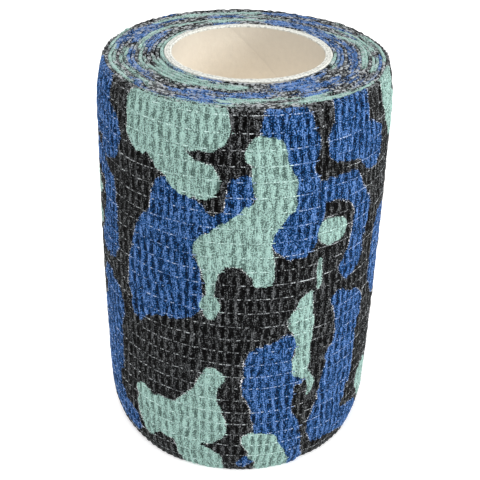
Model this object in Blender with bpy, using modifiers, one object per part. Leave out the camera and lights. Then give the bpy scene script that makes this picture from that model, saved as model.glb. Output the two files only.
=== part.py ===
"""Cohesive bandage roll, standing on one end on its paperboard core.

One strip of crinkled, self-clinging bandage is wound on a short open tube.
Metres, +Z up. The origin is the middle of the base's bounding box, on the surface
that the roll stands on, and -Y is the side that faces the viewer.
"""
import math

import bmesh
import bpy

# The strip and its winding
TAPE_WIDTH = 0.075          # height of the standing roll
ROLL_RADIUS = 0.02645       # mean outer radius half-way up
TURNS = 16                  # full turns of the strip on the core
TAIL_EDGE_DEG = -59.0       # direction of the cut tail's edge, counterclockwise from +X
TAIL_STEP_WIDTH = 0.00012   # width of the drop from the tail to the turn under it

# The paperboard tube
CORE_INNER_RADIUS = 0.0134
CORE_WALL = 0.0013
CORE_PROUD = 0.00045        # height of the tube's rim over the wound cloth
CORE_EDGE = 0.00025         # chamfer of the tube's rims
CORE_SHIFT_X = 0.0003       # the winding is this much looser on its -X side
CORE_SIDES = 96
FIT_GAP = 0.0003            # clear space between the tube and the first turn

# The shape of the wound cloth's side
BELLY = 0.0005              # the ends are this much slimmer than the middle
TOP_DRAW = 0.001            # how far the side draws in at the top edge
TOP_DRAW_LENGTH = 0.0081
BASE_DRAW = 0.0013
BASE_DRAW_LENGTH = 0.0073
DRAW_ROWS = 3               # rows of points down each drawn-in length
MIDDLE_ROWS = 4             # rows of points on the length that is left

# The crinkle's upright ribs, and the wound edges on the top end
RIBS = 107
RIB_HEIGHT = 0.00034        # crest to trough
RIB_UNEVENNESS = 0.2        # share by which ribs differ in height
RIB_WANDER = 0.00022        # how far a rib strays sideways
WANDER_HEIGHT = 0.057       # length along a rib in which it strays both ways
RIBS_START = 0.75           # share of the cloth's depth at which the ribs rise from nothing
RIBS_FULL = 0.85            # and where they reach their full height
TOP_RINGS = 5               # coarse ridges, each standing for about three turns
TOP_RING_DEPTH = 0.0005
RIM_SUNK = 0.0002           # the outer turn's edge lies this far below the ridges

# Worked out from the sizes above
CORE_OUTER_RADIUS = CORE_INNER_RADIUS + CORE_WALL
BORE_RADIUS = CORE_OUTER_RADIUS + FIT_GAP
CLOTH_DEPTH = ROLL_RADIUS - BORE_RADIUS
LAYER = CLOTH_DEPTH / (TURNS + 0.5)     # the tail lies half a layer outside the mean radius
COLUMNS = 2 * RIBS

MERGE_DISTANCE = 0.00005
SHARP_EDGE_DEG = 50.0

CLOTH_LOOK = {"colour": (0.093, 0.153, 0.212, 1.0), "roughness": 0.95}
BOARD_LOOK = {"colour": (0.72, 0.62, 0.47, 1.0), "roughness": 0.8}


def empty_scene():
    """Remove the objects that the scene starts with."""
    for found in list(bpy.data.objects):
        bpy.data.objects.remove(found, do_unlink=True)


def plain_material(name, look):
    """A matt Principled material of one colour."""
    material = bpy.data.materials.new(name)
    material.use_nodes = True
    shader = material.node_tree.nodes["Principled BSDF"]
    shader.inputs["Base Color"].default_value = look["colour"]
    shader.inputs["Roughness"].default_value = look["roughness"]
    shader.inputs["Metallic"].default_value = 0.0
    return material


def turned_object(name, profile, sides, group):
    """Turn a closed outline of (radius, height) points about Z with a Screw modifier.

    The outline starts at the top of the bore and runs out, down the outer side and back.
    """
    shape = bmesh.new()
    points = [shape.verts.new((radius, 0.0, height)) for radius, height in profile]
    for index, point in enumerate(points):
        shape.edges.new((point, points[(index + 1) % len(points)]))
    mesh = bpy.data.meshes.new(name)
    shape.to_mesh(mesh)
    shape.free()
    made = bpy.data.objects.new(name, mesh)
    group.objects.link(made)
    screw = made.modifiers.new("turn", "SCREW")
    screw.axis = "Z"
    screw.angle = 2.0 * math.pi
    screw.steps = sides
    screw.render_steps = sides
    screw.use_merge_vertices = True
    screw.merge_threshold = MERGE_DISTANCE
    screw.use_smooth_shade = True
    return made


def core_profile():
    """The tube's wall, with chamfered rims."""
    top = TAPE_WIDTH + CORE_PROUD
    inner, outer = CORE_INNER_RADIUS, CORE_OUTER_RADIUS
    return [
        (inner, top - CORE_EDGE), (inner + CORE_EDGE, top),
        (outer - CORE_EDGE, top), (outer, top - CORE_EDGE),
        (outer, CORE_EDGE), (outer - CORE_EDGE, 0.0),
        (inner + CORE_EDGE, 0.0), (inner, CORE_EDGE),
    ]


def side_radius(height):
    """Outer radius of the wound cloth at a height: a slight belly, drawn in at both ends."""
    along = 2.0 * height / TAPE_WIDTH - 1.0
    from_top = 1.0 - min(1.0, (TAPE_WIDTH - height) / TOP_DRAW_LENGTH)
    from_base = 1.0 - min(1.0, height / BASE_DRAW_LENGTH)
    drawn_in = TOP_DRAW * from_top ** 2 + BASE_DRAW * from_base ** 2
    return ROLL_RADIUS - BELLY * along ** 2 - drawn_in


def side_heights():
    """Heights of the rows of points on the side, from the top down."""
    top = TAPE_WIDTH - RIM_SUNK
    upper_end = TAPE_WIDTH - TOP_DRAW_LENGTH
    heights = [top + (upper_end - top) * row / DRAW_ROWS for row in range(DRAW_ROWS)]
    middle = upper_end - BASE_DRAW_LENGTH
    heights += [upper_end - middle * row / MIDDLE_ROWS for row in range(MIDDLE_ROWS)]
    heights += [BASE_DRAW_LENGTH * (1.0 - row / DRAW_ROWS) for row in range(DRAW_ROWS + 1)]
    return heights


def roll_profile():
    """The wound cloth's section: a ridged top end, the rounded side and a flat base."""
    rim_radius = side_radius(TAPE_WIDTH - RIM_SUNK)
    rings = 2 * TOP_RINGS
    points = []
    for ring in range(rings):
        radius = BORE_RADIUS + (rim_radius - BORE_RADIUS) * ring / rings
        sunk = 0.0 if ring % 2 else TOP_RING_DEPTH
        points.append((radius, TAPE_WIDTH - sunk))
    points += [(side_radius(height), height) for height in side_heights()]
    points.append((BORE_RADIUS, 0.0))
    return points


def wound_place(column, radius, height):
    """Where a point of the turned section lies on the wound and crinkled roll.

    The columns run counterclockwise from just past the tail's cut edge, round to the edge
    itself. The outline gains one layer on the way, and drops back to the turn below there.
    """
    round_the_roll = column / (COLUMNS - 1)
    outward = (radius - BORE_RADIUS) / CLOTH_DEPTH
    on_side = min(1.0, max(0.0, (outward - RIBS_START) / (RIBS_FULL - RIBS_START)))

    # Whole numbers of radians never repeat, so no two ribs are quite alike
    crest = 0.5 if column % 2 else -0.5
    unevenness = 1.0 + RIB_UNEVENNESS * (math.sin(column) - 1.0)
    rib = RIB_HEIGHT * crest * unevenness * on_side
    wound = radius + LAYER * (round_the_roll - 0.5) * outward ** 3 + rib

    # The ribs stray nowhere near the tail's edge, which is cut straight
    stray = RIB_WANDER * math.sin(2.0 * math.pi * height / WANDER_HEIGHT + column) * on_side
    stray *= math.sin(math.pi * round_the_roll)
    full_turn = 2.0 * math.pi - TAIL_STEP_WIDTH / ROLL_RADIUS
    angle = math.radians(TAIL_EDGE_DEG) + full_turn * round_the_roll + stray / ROLL_RADIUS

    shift = CORE_SHIFT_X * (1.0 - outward)
    return wound * math.cos(angle) + shift, wound * math.sin(angle), height


def make_roll(group):
    """The whole winding as one solid: spiral outline, tail step, ribs and coarse end ridges."""
    turned = turned_object("turned_section", roll_profile(), COLUMNS, group)
    evaluated = turned.evaluated_get(bpy.context.evaluated_depsgraph_get())
    mesh = bpy.data.meshes.new_from_object(evaluated)
    bpy.data.objects.remove(turned, do_unlink=True)
    mesh.name = "bandage_roll"
    column_angle = 2.0 * math.pi / COLUMNS
    for point in mesh.vertices:
        radius = math.hypot(point.co.x, point.co.y)
        column = round(math.atan2(point.co.y, point.co.x) / column_angle) % COLUMNS
        point.co = wound_place(column, radius, point.co.z)
    mesh.shade_smooth()
    mesh.set_sharp_from_angle(angle=math.radians(SHARP_EDGE_DEG))
    mesh.materials.append(plain_material("bandage_fabric", CLOTH_LOOK))
    roll = bpy.data.objects.new("bandage_roll", mesh)
    group.objects.link(roll)
    return roll


def make_core(group):
    """The open paperboard tube."""
    core = turned_object("core_tube", core_profile(), CORE_SIDES, group)
    core.data.materials.append(plain_material("core_board", BOARD_LOOK))
    core.location.x = CORE_SHIFT_X
    return core


def centre_on_base(pieces, outline, group):
    """Carry the pieces on an empty that brings the outline's box to the middle of the base."""
    points = [point.co for point in outline.data.vertices]
    middle_x = (min(point.x for point in points) + max(point.x for point in points)) / 2.0
    middle_y = (min(point.y for point in points) + max(point.y for point in points)) / 2.0
    carrier = bpy.data.objects.new("base_centre", None)
    group.objects.link(carrier)
    carrier.location = (-middle_x, -middle_y, 0.0)
    for piece in pieces:
        piece.parent = carrier


def main():
    empty_scene()
    group = bpy.data.collections.new("cohesive_bandage_roll")
    bpy.context.scene.collection.children.link(group)
    roll = make_roll(group)
    core = make_core(group)
    centre_on_base((roll, core), roll, group)


main()
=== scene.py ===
"""Looks of a standing cohesive bandage roll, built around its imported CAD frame."""
import math

import bmesh
import bpy
import numpy as np
from mathutils import Matrix, Vector


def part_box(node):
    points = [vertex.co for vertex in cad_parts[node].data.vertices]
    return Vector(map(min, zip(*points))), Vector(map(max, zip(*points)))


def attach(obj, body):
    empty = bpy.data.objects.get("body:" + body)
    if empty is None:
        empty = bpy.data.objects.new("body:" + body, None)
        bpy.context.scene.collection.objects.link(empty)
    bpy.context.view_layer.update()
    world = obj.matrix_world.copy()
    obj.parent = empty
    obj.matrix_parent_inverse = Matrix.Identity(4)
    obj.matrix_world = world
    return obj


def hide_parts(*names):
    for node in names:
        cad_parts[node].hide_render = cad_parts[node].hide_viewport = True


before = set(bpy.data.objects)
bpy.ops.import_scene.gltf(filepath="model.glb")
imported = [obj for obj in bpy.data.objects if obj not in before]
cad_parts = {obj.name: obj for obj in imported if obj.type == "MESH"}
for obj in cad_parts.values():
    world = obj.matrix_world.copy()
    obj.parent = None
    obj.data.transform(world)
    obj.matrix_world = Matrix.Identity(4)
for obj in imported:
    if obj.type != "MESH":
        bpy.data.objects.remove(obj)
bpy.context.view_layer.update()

bl_info = {
    "name": "Cohesive bandage roll",
    "version": (1, 0, 0),
    "blender": (4, 5, 0),
    "location": "View3D > Sidebar > Bandage",
    "description": "Builds the crinkled, printed cloth and the paperboard core of a bandage roll",
    "category": "Add Mesh",
}

MM = 0.001

# The winding, as the part's source gives it
TAPE_WIDTH = 0.075
ROLL_RADIUS = 0.02645
TURNS = 16
TAIL_EDGE_DEG = -59.0
CORE_INNER_RADIUS = 0.0134
CORE_OUTER_RADIUS = 0.0147
CORE_PROUD = 0.00045
CORE_SHIFT_X = 0.0003
LINER_PITCH = math.tau * CORE_INNER_RADIUS  # the paper liner climbs at 45 degrees
LINER_JOINT_HEIGHT = 0.05  # height of its joint at the +X side
CORE_RIM_ROUND = 0.00022  # radius of the tube's softened rims
CUT_RIM_DEPTH, CUT_RIM_ROUGHNESS = 0.0005, 0.00007  # the knife has left the top rim uneven
BORE_RADIUS = 0.015
BELLY = 0.0005
TOP_DRAW, TOP_DRAW_LENGTH = 0.001, 0.0081
BASE_DRAW, BASE_DRAW_LENGTH = 0.0013, 0.0073
CLOTH_DEPTH = ROLL_RADIUS - BORE_RADIUS
LAYER = CLOTH_DEPTH / (TURNS + 0.5)
OUTER_TURN_START = TURNS - 1.02  # where the outer turn takes over, hidden under the tail
LOOSENESS = 0.00028  # how far the middle turns stray from a true spiral
INNER_HUG, INNER_RISE = 0.00028, 0.00042  # the core draws the first turns in and up

# The strip itself
YARN_SPACING = 0.00277
FIRST_YARN_HEIGHT = 0.0022
YARNS = 27
YARN_WANDER = 0.00022
YARN_RISE, YARN_SUNK = 0.00016, 0.00006  # a yarn surfaces, or lies in the cloth
RIB_SPACING = 0.00155
FINE_RIB_SPACING = 0.00071
RIB_HEIGHT = 0.00036
PINCH_DEPTH = 0.00006  # how far each yarn draws the cloth in
NAP_HEIGHT = 0.00004
SWELL_HEIGHT = 0.00007
TAIL_TUCK, TAIL_TUCK_LENGTH = 0.00022, 0.0035  # the cut tail is pressed in at its edge
TAIL_CUT_WAVE = 0.00012  # how far the cut strays from a straight line
ROUND_EDGE = 0.00006  # how far the strip's edge is rounded
OUTER_EDGE_RAGGED, INNER_EDGE_RAGGED = 0.00025, 0.00015
WOUND_WAVE = 0.00005  # what is left of the ribs on a wound edge
WOUND_LEAN = 0.0001  # how far a wound edge leans over its neighbour
OUTER_EDGE_FRAY = 0.35  # the outer turn's edges are cleaner than the others
FRAY_DEPTH = 0.0007
PLATE_MISFIT_MM = 0.18  # the black is printed this far from the colours' edges
BASE_PRINT_TURN_DEG = 137.0  # the print on the base's edges is turned by this much
FAR_OUTSIDE_MM = 99.0
FIELD_LIMIT_MM = 5.0  # distances past this all count as well inside or out

# The grids that the cloth is made from
COLUMN_STEP_OUTER = 0.00029
ROW_STEP_OUTER = 0.0005
COLUMN_STEP_INNER = 0.00045
YARN_SIDES = 5
YARN_STEP = 0.0006
MERGE_DISTANCE = 1e-7

# The winding's axis, from the CAD's own core
CORE_LOW, CORE_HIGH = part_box("core_tube")
CORE_X = (CORE_LOW.x + CORE_HIGH.x) / 2.0
CORE_Y = (CORE_LOW.y + CORE_HIGH.y) / 2.0
AXIS_X = CORE_X - CORE_SHIFT_X

# The studio: each soft light's place and diameter, the point they face, the floor, the camera
KEY_LIGHT = ((0.62, -0.13, 0.34), 0.34)
TOP_LIGHT = ((-0.14, -0.27, 0.8), 0.4)
LIGHTS_FACE = (0.0, 0.0, 0.04)
FLOOR_REACH = 2.5
FLOOR_GLOW = 0.36  # keeps the floor white under the roll's shadow
CAMERA_PLACE = (0.0072, -0.15604, 0.13082)
CAMERA_TURN = (-0.04679, 0.54113, 0.02685)  # to the right, down, and tilted, in radians
SENSOR_WIDTH_MM = 36.0
WHITE, BLACK = (1.0, 1.0, 1.0, 1.0), (0.0, 0.0, 0.0, 1.0)

# The camouflage print, charted. Each stroke is (u, v, u, v, radius, radius) in mm:
# two points and the stroke's half-width at each. u runs along the strip from the tail's edge,
# and v up from the base. A stroke with u below 0 lies at the far end of the repeat.
MINT_STROKES = (
    # The hook and its legs
    (10.3, 68.3, 9.3, 67.8, 2.7, 3), (9.2, 67.6, 7.9, 62.5, 3.1, 3.4),
    (7.7, 62.2, 7.4, 59.5, 3.6, 3.3), (8.2, 58.6, 9.6, 56, 3.2, 2.9), (10.5, 55, 10.8, 51, 3, 2.9),
    (10.2, 57.2, 15, 52.4, 2.6, 3.4), (11, 51, 14, 51.2, 3.2, 3.7), (9.6, 50, 9.3, 45.2, 1.9, 1.8),
    (14, 51.3, 18.2, 50.4, 3.8, 3), (18.2, 50, 18.3, 45.5, 2.9, 1.3),
    (18.2, 45.5, 18.2, 41, 0.9, 0.7), (18.2, 41, 18.3, 39.2, 0.7, 2),
    (18.3, 39.2, 18.2, 37.9, 2, 1.3), (17, 47.6, 17.4, 46.3, 1.2, 0.5),
    (11.6, 47.6, 10.9, 45.6, 1.3, 0.5),
    # The patch at the upper left
    (19.5, 72.5, 30.5, 72, 4.4, 4.7), (30.8, 70.2, 31.2, 68.8, 4, 3.4),
    (28.5, 70, 25.5, 66, 3.6, 3.4), (24, 65, 22.6, 63, 3.1, 3.1), (22.6, 62.9, 20, 63, 3, 3.2),
    (24.3, 62.3, 24, 61.9, 2, 1.5),
    # The patch at the lower left
    (32.3, 14.6, 31.2, 11, 2.1, 2.9), (30.8, 11.5, 31, 8, 3.6, 2.6), (31, 8, 31.4, 5.5, 2.2, 1.2),
    (28, 11.3, 23, 11, 4.6, 5), (29.2, 9.6, 27.5, 8.8, 3.5, 2.6), (24, 12.5, 20, 12.5, 3.8, 5),
    (19.5, 15, 18.9, 19, 3.8, 2.2), (21.5, 16, 20, 19.5, 3, 1.6), (18.9, 19.5, 18.6, 22, 2.1, 2.2),
    (18.1, 23, 17.5, 24, 2.2, 2), (22.5, 9, 21.8, 4, 3.6, 3.2), (21.8, 4, 18.6, 3.2, 3.3, 2.9),
    (22, 1, 18, 1, 2.2, 2.4),
    # Along the seam, and at the foot
    (-3, 51.9, -4.6, 52, 2.6, 2.3), (-1.5, 46.6, -1.5, 44, 0.4, 0.65),
    (-1.5, 44, -1.2, 41.6, 0.6, 0.35), (0.1, 41.2, 1.3, 38.9, 0.3, 1.6),
    (1.4, 38.3, 2.1, 35.3, 1.7, 2.7), (1.6, 34.5, 0.9, 31, 2.5, 1.7),
    (0.9, 31, 1.1, 28.5, 1.5, 1.6), (1.4, 27, 1.4, 25, 2.1, 1.9), (0.9, 24, 0.2, 22.8, 1.3, 0.8),
    (-0.4, 22.2, -1.3, 20, 0.7, 0.7), (-1.2, 20, -0.8, 17.8, 0.6, 0.3),
    (10.3, 8.7, 8.5, 7.6, 2.1, 3.1), (8.2, 7.3, 6.5, 4, 3.2, 2.9), (9.2, 8, 8.8, 5.5, 2.2, 2.2),
    (6.4, 4, 5.8, 0, 3, 3.5),
    # At the two sides
    (-19.6, 73.5, -20.8, 69.5, 4.2, 3.8), (-21, 69, -23.5, 66, 3.6, 3.2),
    (-19.2, 12.3, -21.5, 9, 3.2, 3.6), (49.5, 52, 47.8, 52.3, 2.4, 1.9),
    (50.5, 45, 47.5, 45.5, 2.2, 1.2),
    # The side away from the viewer, carried on in the same way
    (58, 69, 66, 71, 3.6, 4.6), (66, 71, 69, 62, 3.6, 2.4), (56, 36, 57, 27, 2.4, 4.2),
    (57, 27, 64, 25, 3.4, 2.6), (64, 25, 66, 31, 2.6, 1.4), (71, 48, 79, 50, 2.4, 3.8),
    (79, 50, 82, 42, 3.4, 1.9), (62, 9, 72, 7, 4.2, 3), (72, 7, 76, 12, 3, 1.6),
    (84, 69, 92, 66, 3, 4.4), (92, 66, 94, 58, 3.4, 1.8), (88, 25, 95, 22, 3.4, 4.6),
    (88, 25, 85, 31, 2.8, 1.5), (98, 43, 105, 45, 2.6, 3.2), (105, 45, 107, 52, 2.8, 2.2),
    (104, 5, 112, 8, 3.8, 4), (112, 8, 113, 15, 3, 1.4), (112, 70, 119, 72, 4, 3),
    (118, 30, 125, 28, 3, 4.4), (125, 28, 127, 36, 3, 1.8), (124, 55, 131, 57, 2.4, 3.6),
    (131, 12, 136, 16, 2.4, 3.4), (134, 41, 138, 44, 2, 3),
)
BLUE_STROKES = (
    # Right of the hook, across the seam
    (6.6, 73.8, 7, 71.5, 3.6, 3.4), (5.2, 72, 4, 68.3, 3.6, 3.5), (4, 68, 3.5, 64, 3.3, 2.3),
    (3.5, 64, 2.5, 60, 2.3, 3.6), (2.2, 59.5, 2.2, 55, 3.7, 3.6), (3.8, 54.5, 3.8, 52.6, 4.2, 4.1),
    (0.8, 54, 0.8, 52.5, 2, 1.8), (-1.5, 60, -6.5, 59.8, 2.1, 2.5),
    (-6.8, 59.5, -9.2, 57.3, 2.6, 1.7), (-9.2, 57.3, -11.4, 54, 1.7, 2.2),
    (-11.4, 53.6, -10.2, 49, 2.5, 2.2), (-10.1, 49, -9.6, 45.2, 2.2, 2.7),
    (-9.4, 45, -8.2, 43.7, 2.9, 2.8),
    # Upper right
    (-6.6, 74, -6.6, 71, 4.2, 4.1), (-3.8, 69.5, -3.8, 67, 2.4, 2.4),
    (-5.5, 68, -12.6, 65.6, 3.3, 3.4), (-12.6, 64.6, -13.2, 63.8, 3.7, 3.4),
    (-20.5, 46, -19.4, 38, 4, 3.6), (-19.7, 37, -21.8, 34, 3.4, 3.4),
    # Lower right
    (-6.3, 37, -9.5, 33.5, 2, 3.8), (-10, 33, -10, 30.5, 4.1, 4.1), (-9.4, 29, -9.2, 25, 3.6, 3.5),
    (-8.8, 24, -8.3, 18, 4.5, 4.9), (-8, 17, -7, 13, 4.7, 4.2), (-6.2, 12, -5.3, 8.4, 4.3, 4.2),
    (-4.4, 7.6, -4, 6.6, 3.4, 2.4), (-8, 7, -14.5, 4.6, 2.9, 3.2), (-14, 4.5, -19, 1.5, 3, 2.6),
    # Lower centre
    (4.6, 30.9, 7.3, 27.5, 2.1, 3.8), (7.8, 27, 7.6, 22, 4.3, 4.9), (7.2, 21, 7, 17.5, 4.6, 4),
    (6.6, 16.5, 6.3, 12, 3.7, 3.8), (5, 11, 3, 7.5, 4, 2.5), (2.6, 7, 0.8, 0.6, 2.1, 2.1),
    (2.6, 22.8, 1.6, 22, 1.2, 0.9), (10.8, 3.6, 11.8, 2.4, 1.2, 1.1),
    # Left of the hook
    (25.9, 61.3, 25.8, 60.4, 1.2, 2.2), (26, 59.5, 26, 56, 2.6, 3.6),
    (24, 58, 21.5, 57.2, 2.4, 2.4), (22, 56.4, 18.5, 55.2, 2.6, 1.4),
    (18.5, 55, 15, 56.5, 1.5, 1.6), (14.2, 57.6, 13, 62.2, 2, 2.3), (24.5, 54, 26.5, 50, 5.2, 5.6),
    (27, 50, 28.5, 45, 5.7, 6), (28.3, 45, 29, 41, 6, 6.4), (26, 45, 25.5, 41, 6.2, 6),
    (24.5, 40.4, 23.5, 39.2, 4.2, 3.2), (29.5, 41, 31, 38.5, 5.9, 4.4),
    (29, 39.2, 27, 38.6, 3.8, 3), (31.3, 37, 33, 33.6, 4, 1.9),
    # The left side
    (46.5, 73, 47, 68, 5.7, 5), (40.5, 66.6, 40.6, 64.4, 4, 3.6), (39.2, 67.6, 43, 69, 2.3, 3),
    (42, 62.6, 42.4, 62.2, 2.4, 2), (49, 60, 45, 58.6, 2.6, 2.6), (44.5, 58, 41, 56, 2.4, 2),
    (41, 55.5, 41, 49, 2.3, 2.5), (41.3, 48, 42, 44.2, 3, 3.5), (43, 43.5, 45, 42.5, 2.7, 2.3),
    (43.5, 34, 41.5, 32, 3.4, 4), (41.5, 31, 43, 27, 3.9, 4.6), (43.5, 26, 43.5, 19, 4.8, 4.8),
    (44.5, 18, 46, 12, 5, 4.8), (46, 11, 40, 6, 4.6, 3.2), (40, 6, 37.2, 5.4, 3.2, 3.2),
    (48, 24, 49, 10, 4.5, 4.5),
    # The side away from the viewer
    (57, 61, 60, 53, 2.6, 4.4), (60, 53, 67, 54, 3.6, 2), (60, 42, 66, 39, 2.4, 4.2),
    (66, 39, 68, 45, 3.2, 1.5), (58, 17, 65, 16, 2.2, 3.8), (70, 33, 75, 27, 2.8, 4.8),
    (75, 27, 77, 19, 4, 2), (75, 64, 79, 71, 3.2, 4.4), (79, 60, 85, 57, 2.2, 3.8),
    (83, 10, 91, 12, 4.4, 3.6), (91, 12, 96, 8, 3.4, 2.2), (88, 41, 92, 49, 2.4, 4.6),
    (92, 35, 90, 39, 1.9, 3), (100, 60, 104, 69, 4.2, 3.2), (100, 33, 107, 29, 2.4, 4.8),
    (107, 29, 106, 19, 4.2, 2.3), (112, 60, 116, 52, 2.9, 4.4), (116, 52, 114, 42, 4, 2.4),
    (121, 16, 127, 12, 3.4, 4.8), (121, 6, 124, 3, 2.2, 3.4), (126, 68, 133, 69, 4.2, 2.8),
    (130, 47, 132, 50, 1.9, 2.8), (131, 25, 136, 29, 2.4, 3.6), (135, 58, 138, 62, 2.4, 3.4),
)
# Bare black ground left inside the two colours
MINT_GAPS = ((14.4, 66.9, 20.6, 67.1, 0.95, 0.35), (14.2, 7.4, 19.6, 7.1, 0.8, 0.4))
BLUE_GAPS = ((0.2, 18.3, 0.1, 14.6, 2.7, 2.4), (0.3, 13.5, 0.2, 11.2, 1.9, 0.4),
             (-0.2, 7.4, -0.3, 4.6, 0.5, 0.5))

# The print as it shows on the wound edges of the turns under the outermost one, charted in
# round numbers: (degrees, radius, degrees, radius, half-width), with radii in mm.
END_MINT = (
    (209, 17.4, 240, 17.5, 1.3), (240, 17.5, 270, 17.4, 0.75), (180, 23.4, 222, 23.8, 0.35),
    (232, 24.2, 268, 24.1, 0.35), (292, 22.7, 303, 22.6, 0.8), (180, 21.5, 225, 22, 0.35),
    (180, 19.3, 207, 19.2, 0.3), (178, 16, 208, 15.8, 0.35), (265, 22.1, 285, 21.8, 0.9),
    (290, 23.1, 330, 24.3, 0.6), (345, 22.4, 360, 22.4, 0.5), (348, 20.6, 378, 21.2, 0.5),
    (338, 15.8, 360, 15.4, 0.4), (0, 24, 28, 24, 0.4), (14, 22.5, 35, 22, 0.5),
    (25, 20.4, 36, 19.2, 0.7), (92, 22.8, 116, 22.8, 0.7), (92, 18.4, 112, 17.8, 0.9),
    (75, 20.7, 90, 20.8, 0.4), (118, 23.3, 140, 23.2, 0.5), (118, 19, 134, 19.1, 0.4),
    (140, 20, 180, 19.5, 0.5), (165, 24.5, 180, 24.5, 0.4), (146, 15.7, 180, 16.1, 0.4),
)
END_BLUE = (
    (184, 20.6, 224, 20.4, 0.5), (219, 22.7, 236, 24.3, 0.5), (242, 23.4, 262, 23.3, 0.8),
    (240, 21.9, 262, 21.9, 0.8), (240, 20.2, 280, 20, 0.8), (196, 15.3, 256, 16.1, 0.5),
    (295, 21.9, 330, 20.3, 0.7), (292, 18.6, 315, 18.3, 1.3), (297, 16.8, 322, 16.6, 1),
    (325, 22.5, 360, 23.3, 0.5), (339, 19.1, 382, 18.2, 0.6), (345, 16.5, 382, 16.3, 0.5),
    (20, 21.6, 36, 21.9, 0.5), (38, 18, 72, 17.6, 1.6), (22, 15.8, 42, 15.8, 0.5),
    (42, 22.4, 62, 21.3, 0.8), (66, 23.7, 85, 23.1, 0.8), (95, 20.6, 110, 20.7, 0.7),
    (128, 22.5, 178, 23.2, 0.6), (146, 21.5, 165, 21.2, 0.7), (155, 18.1, 180, 18, 0.8),
    (138, 15.1, 178, 15.2, 0.5), (104, 16.2, 118, 16.1, 0.4),
)
# Black that crosses the two colours there
END_GAPS = (
    (231, 22.8, 241, 22.8, 0.9), (226, 19.8, 236, 19.9, 1.1), (285, 22.6, 290, 22.4, 0.9),
    (285, 20.2, 290, 19.6, 1), (275, 17.9, 286, 18, 0.6), (314, 21.9, 320, 21.6, 1),
    (331, 23.1, 342, 23, 0.5), (321, 17.6, 333, 16.6, 0.9), (332, 17.4, 345, 17.3, 0.7),
    (186, 17.9, 205, 17.7, 0.7), (188, 22.5, 203, 22.6, 0.5), (271, 15.6, 283, 15.4, 0.8),
    (257, 20.6, 261, 20.6, 0.6), (322, 20.6, 341, 20.4, 0.35), (183, 19.7, 198, 19.7, 0.35),
)


# --- Shapes of the cloth -------------------------------------------------------------

def smooth_noise(along, across, seed):
    """Noise from -1 to 1 with about one bump to a unit, the same on every run.

    A length divided by 0.009 has bumps 9 mm long. Each use has a seed of its own.
    """
    cells = 256
    table = np.random.default_rng(seed).uniform(-1.0, 1.0, (cells, cells))
    along, across = np.broadcast_arrays(np.asarray(along, float), np.asarray(across, float))
    column, row = np.floor(along).astype(int), np.floor(across).astype(int)
    part, rise = along - column, across - row
    part, rise = part * part * (3.0 - 2.0 * part), rise * rise * (3.0 - 2.0 * rise)

    def corner(right, up):
        return table[(column + right) % cells, (row + up) % cells]

    lower = corner(0, 0) * (1.0 - part) + corner(1, 0) * part
    upper = corner(0, 1) * (1.0 - part) + corner(1, 1) * part
    return lower * (1.0 - rise) + upper * rise


def side_share(height):
    """Share of the cloth's depth that is left at a height, where the ends draw in."""
    along = 2.0 * height / TAPE_WIDTH - 1.0
    from_top = 1.0 - np.minimum(1.0, (TAPE_WIDTH - height) / TOP_DRAW_LENGTH)
    from_base = 1.0 - np.minimum(1.0, height / BASE_DRAW_LENGTH)
    drawn_in = BELLY * along ** 2 + TOP_DRAW * from_top ** 2 + BASE_DRAW * from_base ** 2
    return 1.0 - drawn_in / CLOTH_DEPTH


def strip_length(turn):
    """Length of strip from the tail's edge down to a turn count, which is 0 at the core."""
    wound = TURNS * (TURNS + 2) - turn * (turn + 2)
    return math.tau * (BORE_RADIUS * (TURNS - turn) + LAYER * wound / 2.0)


def turn_at(along):
    """The turn count at a length of strip from the tail's edge."""
    turns = np.linspace(0.0, TURNS, 6000)
    return np.interp(-along, -strip_length(turns), turns)


def place_on_roll(turn, height, inward):
    """World x and y of a point that lies inward from the outer face of a turn."""
    share = side_share(np.clip(height, 0.0, TAPE_WIDTH))

    # The first turns lie round the core, and step over the strip's inner end once a turn
    part = turn - np.floor(turn)
    step = np.clip((part - 0.8) / 0.2, 0.0, 1.0)
    layers = turn + 1.0 - np.exp(-(turn / 3.0) ** 2) * (part - step * step * (3.0 - 2.0 * step))
    radius = BORE_RADIUS + (LAYER * layers - inward) * share
    angle = math.radians(TAIL_EDGE_DEG) + math.tau * turn
    outward = (radius - BORE_RADIUS) / CLOTH_DEPTH
    shift = CORE_SHIFT_X * (1.0 - outward)
    x, y = radius * np.cos(angle) + shift, radius * np.sin(angle)

    # The turns lie a little unevenly, all together, but not at the core or the outside
    loose = LOOSENESS * np.clip(4.0 * outward * (1.0 - outward), 0.0, 1.0)
    x, y = (x + loose * smooth_noise(x / 0.006, y / 0.006, 31),
            y + loose * smooth_noise(x / 0.006, y / 0.006, 32))
    return x + AXIS_X, y + CORE_Y


def yarn_wander(along, height):
    """How far the elastic yarns stray up or down."""
    return YARN_WANDER * smooth_noise(along / 0.011, height / 0.007, 14)


def tail_tuck(along):
    """How far the strip is pressed in near the tail's cut edge."""
    return TAIL_TUCK * np.clip(1.0 - along / TAIL_TUCK_LENGTH, 0.0, 1.0) ** 2


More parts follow.
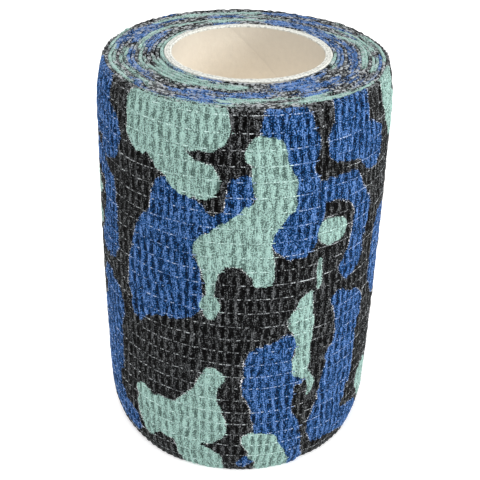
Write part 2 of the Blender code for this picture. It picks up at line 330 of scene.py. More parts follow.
def crinkle(along, height):
    """Relief of the strip's outer face in metres, and a tone of painted light and shade from 0 in
    a pocket to 1 on a crest.
    """
    rows = (height - FIRST_YARN_HEIGHT - yarn_wander(along, height)) / YARN_SPACING
    bay = 0.5 - 0.5 * np.cos(math.tau * rows)  # 1 between yarns, 0 at a yarn
    sideways = (0.5 * smooth_noise(along / 0.009, height / 0.012, 11)
                + 0.19 * smooth_noise(along / 0.0024, height / 0.0027, 12))
    wave = np.cos(math.tau * (along / RIB_SPACING + sideways))
    ridge, groove = (0.5 + 0.5 * wave) ** 1.7, (0.5 - 0.5 * wave) ** 5
    fine = np.cos(math.tau * (along / FINE_RIB_SPACING + 2.6 * smooth_noise(
        along / 0.004, height / 0.0035, 17)))
    strength = 0.7 + 0.42 * smooth_noise(along / 0.0027, height / 0.0029, 13)
    lift = (ridge - 0.45) * strength * (0.55 + 0.45 * bay) + 0.16 * fine * (1.0 - ridge)
    pinch = (1.0 - bay) ** 3
    nap = smooth_noise(along / 0.0005, height / 0.0006, 15)
    swell = smooth_noise(along / 0.016, height / 0.013, 16)
    relief = RIB_HEIGHT * lift - PINCH_DEPTH * pinch + NAP_HEIGHT * nap + SWELL_HEIGHT * swell

    # Painted shade darkens some of the grooves between the ribs, where they look folded closed
    fold_shade = np.clip(0.35 + 1.1 * smooth_noise(along / 0.0031, height / 0.0024, 18), 0.0, 1.0)
    # The crest tone is painted shade in the pockets, folded grooves and pinches, and painted light
    # on the ridges
    crest = 0.54 + 0.72 * lift - 0.55 * groove * fold_shade * bay - 0.08 * pinch + 0.12 * nap
    return relief, np.clip(crest, 0.0, 1.0)


def stroke_distance(u, v, strokes, gaps):
    """Distance in mm inside the strokes, below 0 outside them."""
    repeat = strip_length(TURNS - 1.0) / MM  # the print meets itself at the tail's edge

    def inside(stroke):
        start_u, start_v, end_u, end_v, start_radius, end_radius = stroke
        across = (u - start_u + repeat / 2.0) % repeat - repeat / 2.0
        up = v - start_v
        run, rise = end_u - start_u, end_v - start_v
        share = np.clip((across * run + up * rise) / max(run * run + rise * rise, 1e-9), 0, 1)
        reach = start_radius + (end_radius - start_radius) * share
        return reach - np.hypot(across - share * run, up - share * rise)

    best = np.full(np.shape(u), -FAR_OUTSIDE_MM)
    for stroke in strokes:
        best = np.maximum(best, inside(stroke))
    for stroke in gaps:
        best = np.minimum(best, -inside(stroke))
    return best


def charted(u, v):
    """Distance in mm inside the mint, and inside the blue."""
    return (stroke_distance(u, v, MINT_STROKES, MINT_GAPS),
            stroke_distance(u, v, BLUE_STROKES, BLUE_GAPS))


def print_fields(along, height):
    """Distance in mm inside the mint, the blue, and the slivers that no ink covers."""
    u, v = along / MM, height / MM
    u, v = (u + 0.3 * smooth_noise(u / 2.1, v / 2.1, 21) + 0.16 * smooth_noise(u / 0.8, v, 22),
            v + 0.3 * smooth_noise(u / 2.3, v / 2.0, 23)
            + 0.3 * smooth_noise(u / 0.75, v / 1.6, 24))
    mint, blue = charted(u, v)
    misfit = PLATE_MISFIT_MM * (0.2 + 0.75 * smooth_noise(u / 9.0, v / 7.0, 28))
    cleared = np.maximum(*charted(u - misfit, v))
    return mint, blue, np.minimum(cleared, -np.maximum(mint, blue))


def end_fields(turn, height):
    """The same three distances on the wound edges, from their place round and across the end.

    Each turn's edge strays on its own, so the patches break up into arcs of a layer or two.
    """
    angle = TAIL_EDGE_DEG + 360.0 * turn + 5.0 * smooth_noise(turn * 3.1, turn * 0.9, 25)
    angle = np.where(height > TAPE_WIDTH / 2.0, angle, angle + BASE_PRINT_TURN_DEG)
    radius = (BORE_RADIUS + LAYER * float(side_share(TAPE_WIDTH)) * (turn + 0.75)) / MM
    radius = radius + 0.22 * smooth_noise(turn * 11.0, 2.0, 27)

    def inside(arcs):
        best = np.full(np.shape(turn), -FAR_OUTSIDE_MM)
        for start, start_radius, end, end_radius, half in arcs:
            past_start = (angle - start + 90.0) % 360.0 - 90.0
            share = np.clip(past_start / (end - start), 0.0, 1.0)
            past = np.radians(past_start - share * (end - start)) * radius * 0.4
            middle = start_radius + (end_radius - start_radius) * share
            best = np.maximum(best, half - np.hypot(past, radius - middle))
        return best

    black = inside(END_GAPS)
    mint, blue = [
        np.minimum(inside(arcs), -black) + 0.22 * smooth_noise(turn * 60.0, number, 26)
        for number, arcs in enumerate((END_MINT, END_BLUE))]
    return mint, blue, np.full(np.shape(turn), -FIELD_LIMIT_MM)


def add_closed_strip(shape, columns, loop, place):
    """Add a closed band to a bmesh: a grid whose rows run round a loop of points.

    place(share along, points of the loop) gives the three world coordinates and the four
    numbers (along, height, crest, depth) that the print and the finish follow.
    """
    rows = len(loop)
    layers = [shape.verts.layers.float.get(name) or shape.verts.layers.float.new(name)
              for name in ("along", "height", "crest", "depth")]
    made = bmesh.ops.create_grid(shape, x_segments=columns, y_segments=rows, size=1.0)["verts"]
    column = np.array([round((point.co.x + 1.0) / 2.0 * columns) for point in made])
    row = np.array([round((point.co.y + 1.0) / 2.0 * rows) for point in made]) % rows
    where, told = [np.stack(parts, 1).tolist()
                   for parts in place(column / columns, np.array(loop)[row])]
    for point, position, numbers in zip(made, where, told):
        point.co = position
        for layer, number in zip(layers, numbers):
            point[layer] = number
    bmesh.ops.remove_doubles(shape, verts=made, dist=MERGE_DISTANCE)


def make_object(name, shape, material):
    """Turn a bmesh into a smooth object with one material."""
    mesh = bpy.data.meshes.new(name)
    shape.to_mesh(mesh)
    shape.free()
    mesh.shade_smooth()
    mesh.materials.append(material)
    made = bpy.data.objects.new(name, mesh)
    bpy.context.scene.collection.objects.link(made)
    return made


def finish_strip(name, shape, material, wound_edges=False):
    """Close the band's ends, make it an object and give its points the print's distances."""
    edges = [edge for edge in shape.edges if edge.is_boundary]
    bmesh.ops.holes_fill(shape, edges=edges, sides=0)
    bmesh.ops.recalc_face_normals(shape, faces=shape.faces)
    piece = make_object(name, shape, material)
    attributes = piece.data.attributes
    count = len(piece.data.vertices)
    along, height = np.zeros(count), np.zeros(count)
    attributes["along"].data.foreach_get("value", along)
    attributes["height"].data.foreach_get("value", height)
    mint, blue, bare = (end_fields(turn_at(along), height) if wound_edges
                        else print_fields(along, height))
    edge = np.exp(-np.minimum(height, TAPE_WIDTH - height) / FRAY_DEPTH)
    edge = edge * (1.0 if wound_edges else OUTER_EDGE_FRAY)
    for field, values in (("mint_print", mint), ("blue_print", blue), ("bare_cloth", bare),
                          ("edge", edge)):
        attributes.new(field, "FLOAT", "POINT").data.foreach_set(
            "value", np.clip(values, -FIELD_LIMIT_MM, FIELD_LIMIT_MM))
    return piece


def strip_loop(outer_rows, edge_rows, inner_rows):
    """Points round the strip's section as (height, share of its thickness), top edge first."""
    loop = [(height, 0.0) for height in outer_rows]
    loop += [(0.0, share) for share in edge_rows]
    loop += [(height, 1.0) for height in inner_rows]
    loop += [(TAPE_WIDTH, 1.0 - share) for share in edge_rows]
    return loop


def uneven_edges(along, height, seed, amount):
    """Lift or drop of the strip near its two cut edges, never below the base."""
    ragged = 0.55 * smooth_noise(along / 0.0045, 0.0, seed)
    ragged = ragged + 0.45 * smooth_noise(along / 0.0009, 3.0, seed + 1)
    near_top = np.exp(-(TAPE_WIDTH - height) / 0.0012)
    near_base = np.exp(-height / 0.0012)
    return amount * (ragged * near_top + (0.5 + 0.5 * ragged) * near_base)


def make_outer_turn(material, thickness):
    """The outermost turn, whose whole face is seen, with its cut tail."""
    rows = round((TAPE_WIDTH - 2 * ROUND_EDGE) / ROW_STEP_OUTER)
    outer = [TAPE_WIDTH - ROUND_EDGE - (TAPE_WIDTH - 2 * ROUND_EDGE) * row / rows
             for row in range(rows + 1)]
    inner = (ROUND_EDGE, 0.004, TAPE_WIDTH / 2, TAPE_WIDTH - 0.004, TAPE_WIDTH - ROUND_EDGE)
    loop = strip_loop(outer, (0.25, 0.75), inner)
    length = strip_length(OUTER_TURN_START)

    def place(share, points):
        turn = OUTER_TURN_START + (TURNS - OUTER_TURN_START) * share
        height, depth = points[:, 0], points[:, 1]
        along = length * (1.0 - share)
        relief, crest = crinkle(along, height)
        inward = depth * thickness - relief * (1.0 - 0.6 * depth) + tail_tuck(along)
        cut = TAIL_CUT_WAVE * smooth_noise(0.0, height / 0.0021, 41) * np.exp(-along / 0.001)
        turn = turn + cut / (math.tau * ROLL_RADIUS)
        x, y = place_on_roll(turn, height, inward)
        z = height + uneven_edges(along, height, 43, OUTER_EDGE_RAGGED)
        return (x, y, z), (along, height, crest, depth * thickness)

    shape = bmesh.new()
    add_closed_strip(shape, round(length / COLUMN_STEP_OUTER), loop, place)
    return finish_strip("bandage_outer_turn", shape, material), length


def make_inner_turns(material, thickness):
    """The turns under the outermost one, of which only the edges show."""
    outer = [TAPE_WIDTH - down for down in (ROUND_EDGE, 0.0004, 0.0012, 0.0045)]
    outer += [0.0045, 0.0008, ROUND_EDGE]
    loop = strip_loop(outer, (0.14, 0.5, 0.86), outer[::-1])
    first = strip_length(OUTER_TURN_START)
    length = strip_length(0.0) - first

    def place(share, points):
        height, depth = points[:, 0], points[:, 1]
        along = first + length * (1.0 - share)
        turn = turn_at(along)
        near_edge = np.exp(-np.minimum(height, TAPE_WIDTH - height) / 0.001)
        sideways = 0.8 * smooth_noise(along / 0.005, height / 0.03, 51)
        wave = np.cos(math.tau * (along / RIB_SPACING + sideways))
        wave = WOUND_WAVE * wave * (0.8 + 0.6 * smooth_noise(along / 0.004, 1.0, 52))
        wave = wave + WOUND_WAVE * smooth_noise(along / 0.0009, height / 0.0008, 53)
        lean = WOUND_LEAN * smooth_noise(along / 0.0032, 7.0, 54) * near_edge
        hug = INNER_HUG * np.exp(-turn / 4.0)
        inward = depth * thickness * (0.94 + 0.12 * smooth_noise(along / 0.0021, 9.0, 57))
        x, y = place_on_roll(turn, height, inward - wave - lean + hug)
        rise = INNER_RISE * np.clip(1.0 - turn / 9.0, 0.0, 1.0) * (height > TAPE_WIDTH / 2)
        z = height + uneven_edges(along, height, 55, INNER_EDGE_RAGGED) + rise * near_edge
        crest = 0.55 + 0.4 * smooth_noise(along / 0.0011, height / 0.0007, 56)
        return (x, y, z), (along, height, crest, depth * thickness)

    shape = bmesh.new()
    add_closed_strip(shape, round(length / COLUMN_STEP_INNER), loop, place)
    return finish_strip("bandage_turns", shape, material, wound_edges=True), length


def make_yarns(material, diameter):
    """The elastic yarns that gather the strip, coming up through its face here and there."""
    shape = bmesh.new()
    length = strip_length(TURNS - 1.0)
    corners = [(math.cos(math.tau * side / YARN_SIDES),
                math.sin(math.tau * side / YARN_SIDES)) for side in range(YARN_SIDES)]
    for number in range(YARNS):
        middle = FIRST_YARN_HEIGHT + number * YARN_SPACING

        def place(share, points):
            along = length * (1.0 - share) + YARN_STEP * share  # ends short of the tail
            centre = middle + yarn_wander(along, middle)
            relief, crest = crinkle(along, centre)
            shown = 0.25 + 0.8 * smooth_noise(along / 0.0041, number * 3.7, 61)
            shown = shown + 0.7 * smooth_noise(along / 0.0011, number * 5.3, 62)
            rise = relief + YARN_RISE * np.clip(shown, -1.0, 0.5) - YARN_SUNK
            height = centre + points[:, 1] * diameter / 2.0
            inward = -rise - points[:, 0] * diameter / 2.0 + tail_tuck(along)
            x, y = place_on_roll(TURNS - 1.0 + share, height, inward)
            return (x, y, height), (along, height, crest, 0.0 * along)

        add_closed_strip(shape, round(length / YARN_STEP), corners, place)
    return finish_strip("elastic_yarns", shape, material)


# --- Finishes ------------------------------------------------------------------------

def colour(code):
    """An sRGB hex colour as linear red, green, blue and alpha."""
    parts = [int(code[place:place + 2], 16) / 255.0 for place in (1, 3, 5)]
    return [part / 12.92 if part <= 0.04045 else ((part + 0.055) / 1.055) ** 2.4
            for part in parts] + [1.0]


def add_node(tree, kind, inputs, out=0, stops=(), **settings):
    """Add a node with its settings, feed its inputs and return one of its outputs.

    kind is the node's type after "ShaderNode". Each input gets a number, a colour or another
    node's output. stops are the positions and linear colours of a colour ramp. A Mix node's
    colours are its inputs 6 and 7, and the mixed colour is its output 2.
    """
    node = tree.nodes.new("ShaderNode" + kind)
    for name, value in settings.items():
        setattr(node, name, value)
    for socket, value in inputs.items():
        if isinstance(value, bpy.types.NodeSocket):
            tree.links.new(value, node.inputs[socket])
        else:
            node.inputs[socket].default_value = value
    for index, (position, tint) in enumerate(stops):
        elements = node.color_ramp.elements
        element = elements[index] if index < 2 else elements.new(position)
        element.position, element.color = position, tint
    return node.outputs[out]


def new_material(name, roughness, specular=0.25):
    """A material with its Principled shader, and nothing linked to it yet."""
    material = bpy.data.materials.new(name)
    material.use_nodes = True
    shader = material.node_tree.nodes["Principled BSDF"]
    shader.inputs["Roughness"].default_value = roughness
    shader.inputs["Specular IOR Level"].default_value = specular
    return material, material.node_tree, shader


def shades(tint, steps, fibre=WHITE):
    """Stops for a colour ramp, each the tint times a gain, with a share of bare fibre over it."""
    return [(position, [min(1.0, max(0.0, part * gain + pale * worn))
                        for part, pale in zip(tint[:3], fibre[:3])] + [1.0])
            for position, gain, worn in steps]


def strip_coordinates(tree):
    """Place in the strip as a vector in metres: along it, up it and through it."""
    along, height, depth = [
        add_node(tree, "Attribute", {}, out="Fac", attribute_name=name)
        for name in ("along", "height", "depth")]
    return add_node(tree, "CombineXYZ", {"X": along, "Y": height, "Z": depth})


def fibre_noise(tree, place, turn_deg, length_mm, width_mm, detail):
    """Noise drawn out into strokes as long and wide as bunched fibres."""
    cell = add_node(tree, "Mapping", {
        "Vector": place, "Rotation": (0.0, 0.0, math.radians(-turn_deg)),
        "Scale": (length_mm * MM, width_mm * MM, width_mm * MM)}, vector_type="TEXTURE")
    return add_node(tree, "TexNoise", {
        "Vector": cell, "Scale": 1.0, "Detail": detail, "Roughness": 0.55})


# How each ink looks from the pockets, in painted shade, up to the crests, in painted light over
# worn fibre: (tone, gain on the ink's colour, share of pale bare fibre). The elastic yarns
# carry hardly any ink.
CLOTH_SHADES = {
    "ground": ((0.12, 0.03, 0.0), (0.38, 0.11, 0.0), (0.56, 0.6, 0.0), (0.78, 1.0, 0.07),
               (0.98, 1.0, 0.3)),
    "blue": ((0.14, 0.1, 0.0), (0.33, 0.42, 0.0), (0.5, 1.0, 0.0), (0.68, 1.66, 0.035),
             (0.88, 1.9, 0.26)),
    "mint": ((0.08, 0.34, -0.05), (0.26, 0.74, -0.03), (0.44, 1.0, 0.0), (0.68, 1.16, 0.0),
             (0.92, 1.28, 0.03)),
    "bare": ((0.2, 0.35, 0.0), (0.5, 1.0, 0.0), (0.8, 1.9, 0.0)),
}
YARN_SHADES = {
    "ground": ((0.2, 1.0, 0.05), (0.5, 1.0, 0.45), (0.8, 1.0, 1.2)),
    "blue": ((0.2, 1.2, 0.03), (0.5, 1.6, 0.3), (0.8, 1.0, 1.0)),
    "mint": ((0.2, 0.9, 0.0), (0.5, 1.1, 0.3), (0.8, 1.1, 0.8)),
    "bare": ((0.2, 1.0, 0.0), (0.5, 1.0, 0.3), (0.8, 1.0, 0.7)),
}
# The cloth's mottle: (degrees, length in mm, width in mm, detail, share). Its fibres are 0.02 mm
# thick and lie in bunches of about 0.1 mm, which are too fine to show, so the finest bunches
# are drawn 0.17 to 0.24 mm wide.
FIBRES = ((90.0, 3.0, 0.7, 1.0, 0.7), (90.0, 1.2, 0.18, 2.0, 2.3), (28.0, 0.8, 0.17, 2.0, 1.2),
          (-35.0, 0.7, 0.17, 2.0, 1.2), (0.0, 0.24, 0.2, 3.0, 3.2), (0.0, 3.2, 2.6, 2.0, 0.6))
SPECKLE = (0.0, 0.24, 0.2, 3.0)  # the same figures for single bunches at an ink's edge
FLECKS = (0.0, 0.7, 0.55, 1.0)  # and for the ends of fibres on the wound edges
# The hair-thin creases are painted shade, dark lines in the tone
CREASE_SHADE_CELLS = (70.0, 1.7, 1.1, 1.0)  # and for the cells between the hair-thin creases
CREST_GAIN, TONE_SHIFT, EDGE_PALER = 0.95, -0.07, 0.2
FRAY_MM, EDGE_FRAY_MM = 1.1, 1.6  # how far the inks' edges stray, on the face and beyond
FIBRE_DEPTH = 0.00016
FIBRE_SHEEN = 0.018


def crinkled_nonwoven(name, inks, ink_shades, bump_strength):
    """Printed spunlaid nonwoven gathered by elastic: dead matt, its pressed-up ridges worn pale
    and lit with painted light, its pockets and creases darkened with painted shade, and mottled
    everywhere by bunches of fibres. Along the wound edges the fibres stand on end, so pale flecks
    of bare cloth show in the black."""
    material, tree, shader = new_material(name, 0.95, specular=0.05)
    place = strip_coordinates(tree)
    crest, edge = [add_node(tree, "Attribute", {}, out="Fac", attribute_name=told)
                   for told in ("crest", "edge")]
    centring = -0.5 * sum(fibres[4] for fibres in FIBRES)
    # The crest tone paints shade into the pockets and light onto the ridges
    tone = add_node(tree, "Math", {0: crest, 1: CREST_GAIN, 2: centring + TONE_SHIFT},
                    operation="MULTIPLY_ADD")
    relief = 0.0
    for *bunch, share in FIBRES:
        noise = fibre_noise(tree, place, *bunch)
        tone = add_node(tree, "Math", {0: noise, 1: share, 2: tone}, operation="MULTIPLY_ADD")
        relief = add_node(tree, "Math", {0: noise, 1: share / 2.0, 2: relief},
                          operation="MULTIPLY_ADD")

    # Hair-thin creases wander between the ridges, painted as dark lines of shade where a noise
    # crosses its middle
    crease_shade = fibre_noise(tree, place, *CREASE_SHADE_CELLS)
    crease_shade = add_node(tree, "Math", {0: crease_shade, 1: 0.5}, operation="SUBTRACT")
    crease_shade = add_node(tree, "Math", {0: crease_shade}, operation="ABSOLUTE")
    crease_shade = add_node(tree, "MapRange", {
        "Value": crease_shade, "From Min": 0.004, "From Max": 0.026, "To Min": -0.3, "To Max": 0.04})
    tone = add_node(tree, "Math", {0: tone, 1: crease_shade}, operation="ADD")
    tone = add_node(tree, "Math", {0: edge, 1: EDGE_PALER, 2: tone}, operation="MULTIPLY_ADD")

    # The black ground, with the flecks along the wound edges
    result = add_node(tree, "ValToRGB", {"Fac": tone},
                      stops=shades(inks["ground"], ink_shades["ground"], inks["bare"]))
    fleck = fibre_noise(tree, place, *FLECKS)
    fleck = add_node(tree, "MapRange", {
        "Value": fleck, "From Min": 0.53, "From Max": 0.61, "To Max": 0.72})
    fleck = add_node(tree, "Math", {0: fleck, 1: edge}, operation="MULTIPLY")
    result = add_node(tree, "Mix", {0: fleck, 6: result, 7: inks["bare"]}, out=2, data_type="RGBA")

    # The inks over it, whose edges follow the fibres
    speckle = fibre_noise(tree, place, *SPECKLE)
    speckle = add_node(tree, "Math", {0: speckle, 1: 0.5}, operation="SUBTRACT")
    fray = add_node(tree, "Math", {0: edge, 1: EDGE_FRAY_MM, 2: FRAY_MM}, operation="MULTIPLY_ADD")
    fray = add_node(tree, "Math", {0: speckle, 1: fray}, operation="MULTIPLY")
    for ink, field in (("blue", "blue_print"), ("mint", "mint_print"), ("bare", "bare_cloth")):
        inside = add_node(tree, "Attribute", {}, out="Fac", attribute_name=field)
        inside = add_node(tree, "Math", {0: inside, 1: fray}, operation="ADD")
        mask = add_node(tree, "MapRange", {"Value": inside, "From Min": -0.05, "From Max": 0.07})
        printed = add_node(tree, "ValToRGB", {"Fac": tone},
                           stops=shades(inks[ink], ink_shades[ink], inks["bare"]))
        result = add_node(tree, "Mix", {0: mask, 6: result, 7: printed}, out=2, data_type="RGBA")

    # The flecks show through the inks too, half as strongly
    fleck = add_node(tree, "Math", {0: fleck, 1: 0.5}, operation="MULTIPLY")
    result = add_node(tree, "Mix", {0: fleck, 6: result, 7: inks["bare"]}, out=2, data_type="RGBA")
    tree.links.new(result, shader.inputs["Base Color"])
    bump = add_node(tree, "Bump", {
        "Height": relief, "Strength": bump_strength, "Distance": FIBRE_DEPTH})
    tree.links.new(bump, shader.inputs["Normal"])
    shader.inputs["Sheen Weight"].default_value = FIBRE_SHEEN
    shader.inputs["Sheen Roughness"].default_value = 0.5
    return material


# The board's shades, as (tone, gain, share of white), from dark to pale or across the wall
RIM_PLIES = ((0.0, 0.86, 0.0), (0.16, 1.04, 0.0), (0.3, 0.72, 0.0), (0.5, 0.9, 0.0),
             (0.66, 0.7, 0.0), (0.82, 1.0, 0.0), (1.0, 0.82, 0.0))
RIM_GRIT = ((0.34, 0.55, 0.0), (0.5, 0.93, 0.0), (0.62, 1.0, 0.0))
LINER_CLOUDS = ((0.3, 0.94, 0.0), (0.5, 1.0, 0.0), (0.7, 1.06, 0.0))
LINER_LAP = ((0.0, 0.9, 0.0), (0.012, 0.955, 0.0), (0.3, 0.97, 0.0), (0.94, 1.0, 0.0),
             (1.0, 0.98, 0.0))
# The paper's mottle, in bumps to a metre: a grain of 1.1 mm, clouds of 11 mm, and grit of
# 0.4 mm on the cut rim. Its single fibres are too fine to show, and are drawn this coarse.
PAPER_GRAIN, PAPER_CLOUDS, PAPER_GRIT = 900.0, 90.0, 2600.0
PLY_WAVE = 0.35  # how far the plies stray, as a share of the wall
# How far down and how strongly painted shade darkens the liner below the rim
RIM_SHADE_DEPTH, RIM_SHADE_SHARE = 0.012, 0.31
RIM_FACE_DEPTH = 0.0003
PAPER_DEPTH = 0.00012


def core_paperboard(liner, board):
    """Spiral-wound grey-cored paperboard with a cream liner: matt, smooth inside, and at the
    cut rim rough, with its plies as pale and greyish rings."""
    material, tree, shader = new_material("core_paperboard", 0.8)
    place = add_node(tree, "TexCoord", {}, out="Object")
    centred = add_node(tree, "Mapping", {"Vector": place, "Location": (-CORE_X, -CORE_Y, 0.0)})
    flat = add_node(tree, "Mapping", {"Vector": centred, "Scale": (1.0, 1.0, 0.0)})
    radius = add_node(tree, "VectorMath", {0: flat}, out="Value", operation="LENGTH")
    side, back, height = add_node(tree, "SeparateXYZ", {0: centred}).node.outputs
    mottle = add_node(tree, "TexNoise", {
        "Vector": place, "Scale": PAPER_GRAIN, "Detail": 4.0, "Roughness": 0.6})
    cloud = add_node(tree, "TexNoise", {"Vector": place, "Scale": PAPER_CLOUDS, "Detail": 2.0})
    grit = add_node(tree, "TexNoise", {"Vector": place, "Scale": PAPER_GRIT, "Detail": 2.0})

    # The rim's plies, a little wavy
    ply = add_node(tree, "MapRange", {
        "Value": radius, "From Min": CORE_INNER_RADIUS, "From Max": CORE_OUTER_RADIUS,
        "To Min": -PLY_WAVE / 2.0, "To Max": 1.0 - PLY_WAVE / 2.0}, clamp=False)
    ply = add_node(tree, "Math", {0: mottle, 1: PLY_WAVE, 2: ply}, operation="MULTIPLY_ADD")
    rim = add_node(tree, "ValToRGB", {"Fac": ply}, stops=shades(board, RIM_PLIES))
    rough = add_node(tree, "ValToRGB", {"Fac": grit}, stops=shades(WHITE, RIM_GRIT))
    rim = add_node(tree, "Mix", {0: 1.0, 6: rim, 7: rough}, out=2, data_type="RGBA",
                   blend_type="MULTIPLY")

    # The liner is wound at 45 degrees, and the ply on one side of its joint is a shade darker
    around = add_node(tree, "Math", {0: back, 1: side}, operation="ARCTAN2")
    climb = add_node(tree, "Math", {
        0: around, 1: -CORE_INNER_RADIUS, 2: height}, operation="MULTIPLY_ADD")
    lap = add_node(tree, "MapRange", {
        "Value": climb, "From Min": LINER_JOINT_HEIGHT,
        "From Max": LINER_JOINT_HEIGHT + LINER_PITCH}, clamp=False)
    lap = add_node(tree, "Math", {0: lap}, operation="FRACT")
    lap = add_node(tree, "ValToRGB", {"Fac": lap}, stops=shades(WHITE, LINER_LAP))
    tone = add_node(tree, "Math", {0: cloud, 1: 0.6}, operation="MULTIPLY")
    tone = add_node(tree, "Math", {0: mottle, 1: 0.4, 2: tone}, operation="MULTIPLY_ADD")
    wall = add_node(tree, "ValToRGB", {"Fac": tone}, stops=shades(liner, LINER_CLOUDS))
    wall = add_node(tree, "Mix", {0: 1.0, 6: wall, 7: lap}, out=2, data_type="RGBA",
                    blend_type="MULTIPLY")

    # Painted shade darkens the liner towards the rim
    rim_shade = add_node(tree, "MapRange", {
        "Value": height, "From Min": TAPE_WIDTH - RIM_SHADE_DEPTH, "From Max": TAPE_WIDTH,
        "To Max": RIM_SHADE_SHARE})
    wall = add_node(tree, "Mix", {0: rim_shade, 6: wall, 7: BLACK}, out=2, data_type="RGBA")
    top = add_node(tree, "Math", {
        0: height, 1: TAPE_WIDTH + CORE_PROUD - RIM_FACE_DEPTH}, operation="GREATER_THAN")
    result = add_node(tree, "Mix", {0: top, 6: wall, 7: rim}, out=2, data_type="RGBA")
    tree.links.new(result, shader.inputs["Base Color"])
    bump = add_node(tree, "Bump", {"Height": mottle, "Strength": 0.5, "Distance": PAPER_DEPTH})
    tree.links.new(bump, shader.inputs["Normal"])
    return material


def make_core(material, sides):
    """The paperboard tube: a wall with rounded rims, spun once round, its rim left rough."""
    shape = bmesh.new()
    top = TAPE_WIDTH + CORE_PROUD
    soft = CORE_RIM_ROUND
    profile = []
    for radius, height, turn in ((CORE_INNER_RADIUS + soft, top - soft, 180.0),
                                 (CORE_OUTER_RADIUS - soft, top - soft, 90.0),
                                 (CORE_OUTER_RADIUS - soft, soft, 0.0),
                                 (CORE_INNER_RADIUS + soft, soft, -90.0)):
        for step in range(4):
            angle = math.radians(turn - 30.0 * step)
            profile.append((radius + soft * math.cos(angle), height + soft * math.sin(angle)))
        if turn == 180.0:  # more points across the top rim, where it is rough
            profile += [(radius + share * (CORE_OUTER_RADIUS - CORE_INNER_RADIUS - 2 * soft), top)
                        for share in (0.25, 0.5, 0.75)]
    points = [shape.verts.new((radius, 0.0, height)) for radius, height in profile]
    edges = [shape.edges.new((point, points[(index + 1) % len(points)]))
             for index, point in enumerate(points)]
    bmesh.ops.spin(shape, geom=points + edges, cent=(0.0, 0.0, 0.0), axis=(0.0, 0.0, 1.0),
                   angle=math.tau, steps=sides, use_merge=True, use_duplicate=False)
    bmesh.ops.remove_doubles(shape, verts=shape.verts, dist=MERGE_DISTANCE)
    bmesh.ops.recalc_face_normals(shape, faces=shape.faces)
    for point in shape.verts:
        rim = max(0.0, 1.0 - (top - point.co.z) / CUT_RIM_DEPTH)
        angle = math.atan2(point.co.y, point.co.x)
        radius = math.hypot(point.co.x, point.co.y)
        rough = float(smooth_noise(angle * 22.0, radius / 0.0004, 71))
        point.co.z += CUT_RIM_ROUGHNESS * rough * rim
        point.co.x += CORE_X
        point.co.y += CORE_Y
    return make_object("paperboard_core", shape, material)


# --- The add-on ----------------------------------------------------------------------

class BandageSettings(bpy.types.PropertyGroup):
    """Sizes and colours of the roll's cloth and core."""

    cloth_thickness: bpy.props.FloatProperty(
        name="Cloth thickness", description="Thickness of the crinkled strip on the roll",
        default=0.0006, min=0.0001, max=0.001, unit="LENGTH")
    wound_thickness: bpy.props.FloatProperty(
        name="Wound thickness", description="Thickness of the fluffy edges of the wound turns",
        default=0.00067, min=0.0001, max=0.001, unit="LENGTH")
    yarn_diameter: bpy.props.FloatProperty(
        name="Yarn diameter", description="Thickness of each elastic yarn",
        default=0.00017, min=0.0001, max=0.001, unit="LENGTH")
    core_sides: bpy.props.IntProperty(
        name="Core sides", description="Flat sides round the paperboard core",
        default=144, min=24, max=360)
    ground_colour: bpy.props.FloatVectorProperty(
        name="Ground", description="Black of the print's ground, half-way up a ridge",
        default=colour("#181819"), size=4, min=0.0, max=1.0, subtype="COLOR")
    blue_colour: bpy.props.FloatVectorProperty(
        name="Blue", description="Blue of the print, half-way up a ridge",
        default=colour("#12477e"), size=4, min=0.0, max=1.0, subtype="COLOR")
    mint_colour: bpy.props.FloatVectorProperty(
        name="Mint", description="Mint of the print, half-way up a ridge",
        default=colour("#93b2aa"), size=4, min=0.0, max=1.0, subtype="COLOR")
    bare_colour: bpy.props.FloatVectorProperty(
        name="Bare cloth", description="Cloth that no ink covers",
        default=colour("#c0c5c8"), size=4, min=0.0, max=1.0, subtype="COLOR")
    liner_colour: bpy.props.FloatVectorProperty(
        name="Core liner", description="Cream paper inside the core",
        default=colour("#faf0df"), size=4, min=0.0, max=1.0, subtype="COLOR")
    board_colour: bpy.props.FloatVectorProperty(
        name="Core board", description="Palest ply on the core's cut rim",
        default=colour("#e6e7df"), size=4, min=0.0, max=1.0, subtype="COLOR")


class StageSettings(bpy.types.PropertyGroup):
    """Light and camera of the studio."""

    key_power: bpy.props.FloatProperty(
        name="Key light", description="Power of the soft light at the upper right",
        default=2.9, min=0.0, max=100.0, unit="POWER")
    top_power: bpy.props.FloatProperty(
        name="Top light", description="Power of the soft light over the roll",
        default=2.8, min=0.0, max=100.0, unit="POWER")
    sky: bpy.props.FloatProperty(
        name="Surrounding light", description="Strength of the even white light all round",
        default=0.74, min=0.0, max=5.0)
    lens: bpy.props.FloatProperty(
        name="Lens", description="Focal length of the camera in millimetres",
        default=69.96, min=10.0, max=300.0, subtype="DISTANCE_CAMERA", unit="CAMERA")
    floor_colour: bpy.props.FloatVectorProperty(
        name="Floor", description="Matt studio floor",
        default=colour("#f4f4f4"), size=4, min=0.0, max=1.0, subtype="COLOR")


class BANDAGE_OT_cloth(bpy.types.Operator):
    """Wind the printed strip, and thread its elastic yarns"""

    bl_idname = "bandage.cloth"
    bl_label = "Wound cloth"

    def execute(self, context):
        settings = context.scene.bandage_settings
        inks = {ink: getattr(settings, ink + "_colour") for ink in CLOTH_SHADES}
        cloth = crinkled_nonwoven("printed_crinkled_nonwoven", inks, CLOTH_SHADES, 0.8)
        elastic = crinkled_nonwoven("covered_elastic_yarn", inks, YARN_SHADES, 0.5)
        yarns = make_yarns(elastic, settings.yarn_diameter)
        outer, outer_length = make_outer_turn(cloth, settings.cloth_thickness)
        inner, inner_length = make_inner_turns(cloth, settings.wound_thickness)
        for piece in (outer, inner, yarns):
            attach(piece, "root")
            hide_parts("bandage_roll")
        return {"FINISHED"}


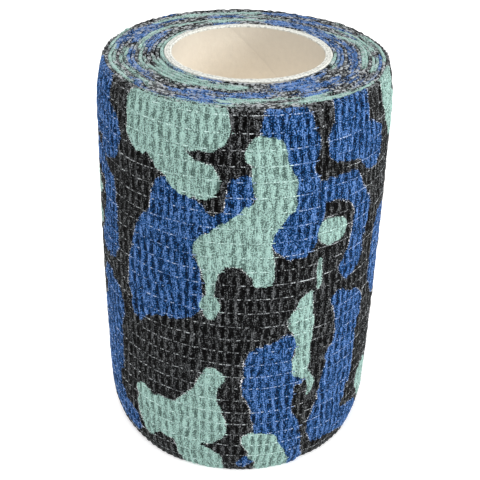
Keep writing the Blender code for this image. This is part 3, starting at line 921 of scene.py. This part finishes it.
class BANDAGE_OT_core(bpy.types.Operator):
    """Make the paperboard core"""

    bl_idname = "bandage.core"
    bl_label = "Paperboard core"

    def execute(self, context):
        settings = context.scene.bandage_settings
        material = core_paperboard(settings.liner_colour, settings.board_colour)
        core = make_core(material, settings.core_sides)
        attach(core, "root")
        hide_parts("core_tube")
        return {"FINISHED"}


class BANDAGE_OT_stage(bpy.types.Operator):
    """Set the pale floor, the soft lights and the camera"""

    bl_idname = "bandage.stage"
    bl_label = "Studio"

    def execute(self, context):
        settings = context.scene.bandage_stage
        scene = context.scene
        scene.view_settings.view_transform = "Standard"
        scene.view_settings.look = "None"
        shape = bmesh.new()
        bmesh.ops.create_grid(shape, x_segments=4, y_segments=4, size=FLOOR_REACH)
        material, _, shader = new_material("white_matt_floor", 0.9)
        shader.inputs["Base Color"].default_value = settings.floor_colour
        shader.inputs["Emission Color"].default_value = WHITE
        shader.inputs["Emission Strength"].default_value = FLOOR_GLOW
        floor = make_object("studio_floor", shape, material)

        world = bpy.data.worlds.new("studio_white")
        world.use_nodes = True
        background = world.node_tree.nodes["Background"]
        background.inputs["Color"].default_value = WHITE
        background.inputs["Strength"].default_value = settings.sky
        scene.world = world
        for name, (place, size), power in (
                ("key_light", KEY_LIGHT, settings.key_power),
                ("top_light", TOP_LIGHT, settings.top_power)):
            data = bpy.data.lights.new(name, "AREA")
            data.shape, data.size, data.energy = "DISK", size, power
            lamp = bpy.data.objects.new(name, data)
            scene.collection.objects.link(lamp)
            away = (Vector(place) - Vector(LIGHTS_FACE)).to_track_quat("Z", "Y")
            lamp.matrix_world = Matrix.Translation(place) @ away.to_matrix().to_4x4()

        data = bpy.data.cameras.new("photo_camera")
        data.sensor_width, data.sensor_fit = SENSOR_WIDTH_MM, "HORIZONTAL"
        data.lens = settings.lens
        data.clip_start = 0.01
        camera = bpy.data.objects.new("photo_camera", data)
        scene.collection.objects.link(camera)
        camera.matrix_world = camera_place(*CAMERA_PLACE, *CAMERA_TURN)
        scene.camera = camera
        return {"FINISHED"}


def camera_place(x, y, z, right, down, tilt):
    """The camera's matrix from where it stands and which way it looks."""
    ahead = Matrix.Rotation(-right, 3, "Z") @ Matrix.Rotation(-down, 3, "X")
    turned = ahead @ Matrix.Rotation(math.pi / 2.0, 3, "X") @ Matrix.Rotation(tilt, 3, "Z")
    return Matrix.Translation((x, y, z)) @ turned.to_4x4()


class BANDAGE_PT_panel(bpy.types.Panel):
    """Lists the roll's pieces and the studio"""

    bl_idname = "BANDAGE_PT_panel"
    bl_label = "Bandage roll"
    bl_space_type = "VIEW_3D"
    bl_region_type = "UI"
    bl_category = "Bandage"

    def draw(self, context):
        for settings in (context.scene.bandage_settings, context.scene.bandage_stage):
            for name in settings.bl_rna.properties.keys():
                if name not in ("rna_type", "name"):
                    self.layout.prop(settings, name)
        for step in STEPS:
            self.layout.operator(step.bl_idname)


STEPS = (BANDAGE_OT_cloth, BANDAGE_OT_core, BANDAGE_OT_stage)
CLASSES = (BandageSettings, StageSettings) + STEPS + (BANDAGE_PT_panel,)


def register():
    for made in CLASSES:
        bpy.utils.register_class(made)
    bpy.types.Scene.bandage_settings = bpy.props.PointerProperty(type=BandageSettings)
    bpy.types.Scene.bandage_stage = bpy.props.PointerProperty(type=StageSettings)


def unregister():
    del bpy.types.Scene.bandage_stage
    del bpy.types.Scene.bandage_settings
    for made in reversed(CLASSES):
        bpy.utils.unregister_class(made)


def main():
    register()
    bpy.ops.bandage.cloth()
    bpy.ops.bandage.core()
    bpy.ops.bandage.stage()
    bpy.context.view_layer.update()


if __name__ == "__main__":
    main()
